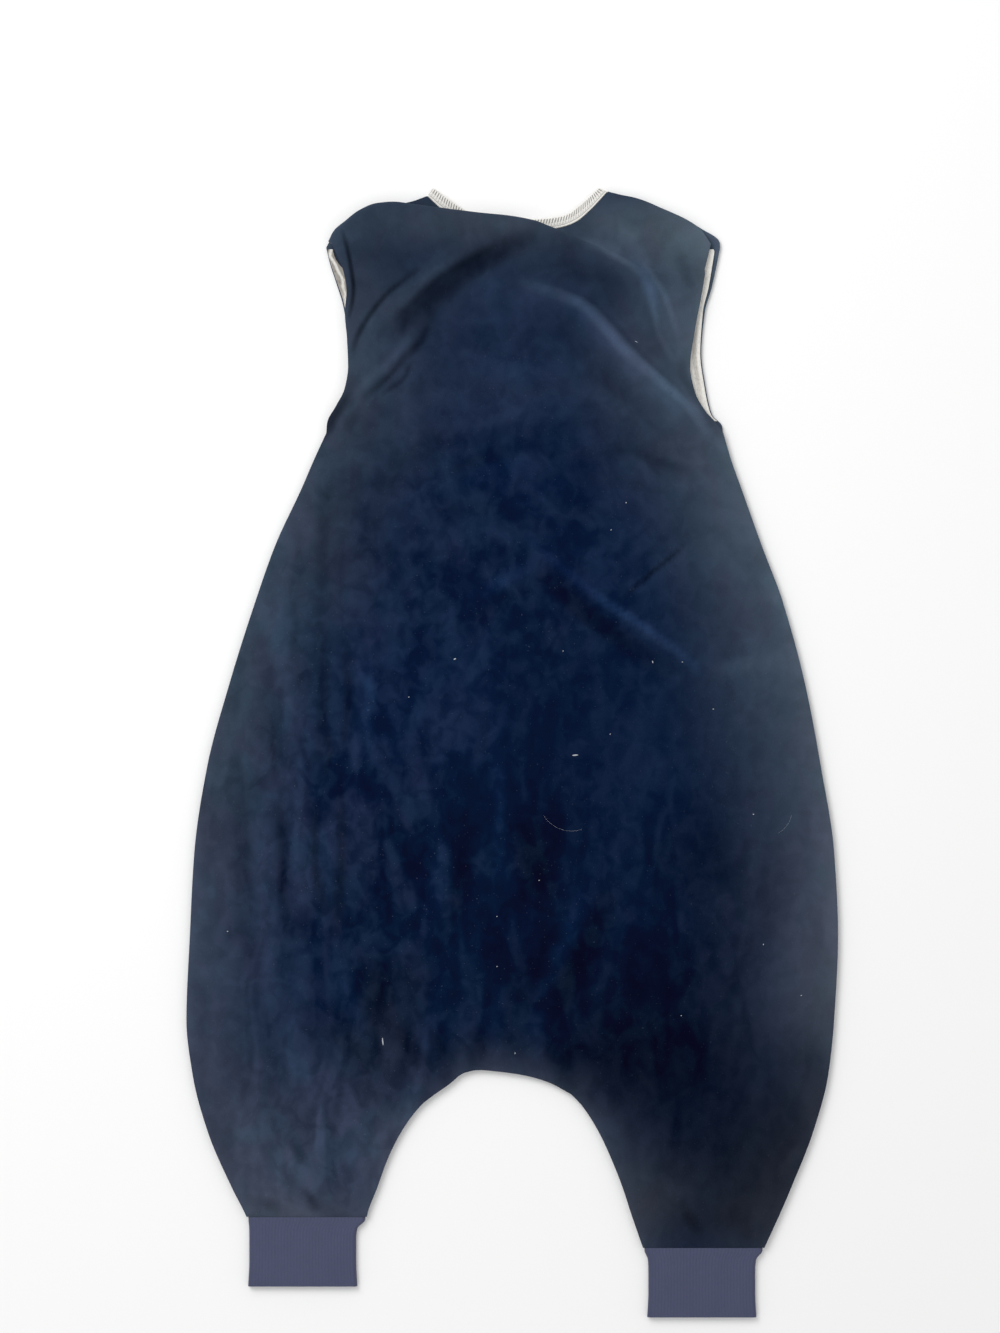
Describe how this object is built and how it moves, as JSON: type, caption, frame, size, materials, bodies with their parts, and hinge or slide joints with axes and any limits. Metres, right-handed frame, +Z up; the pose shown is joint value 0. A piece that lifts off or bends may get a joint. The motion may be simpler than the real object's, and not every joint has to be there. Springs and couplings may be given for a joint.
{
  "type": "sleep sack",
  "caption": "Sleeveless navy velour sleep sack with short legs and rib cuffs, laid flat and face down, its back slumped over the neck, with a zip up the front.",
  "frame": {"origin": "middle of the outline, on the surface that the sack lies on", "axes": "+X across the sack to the picture's right, +Y along it towards the neck, +Z up out of the surface"},
  "size_m": [0.5605, 0.9721, 0.0172],
  "materials": {
    "velour": "matt navy cotton velour with a soft nap",
    "lining_jersey": "pale grey melange jersey",
    "neck_rib": "pale grey melange rib",
    "cuff_rib": "greyed navy rib",
    "zip_tape": "navy woven tape and moulded coil",
    "zip_metal": "dark painted zinc"
  },
  "bodies": {
    "garment": {"back_panel": "velour", "front_panel_left": "velour", "front_panel_right": "velour", "front_lining_left": "lining_jersey", "front_lining_right": "lining_jersey", "neck_binding_back": "neck_rib", "neck_binding_front_left": "neck_rib", "neck_binding_front_right": "neck_rib", "cuff_left": "cuff_rib", "cuff_right": "cuff_rib", "zip_tape_left": "zip_tape", "zip_tape_right": "zip_tape", "zip_chain": "zip_tape", "zip_slider": "zip_metal"},
    "pull": {"zip_pull": "zip_metal"}
  },
  "joints": [
    {"name": "pull_swing", "type": "hinge", "parent": "garment", "child": "pull", "pos_m": [0.0029, 0.4067, 0.0009], "axis": [0.9998, -0.0198, 0], "range_deg": [0, 165]}
  ]
}
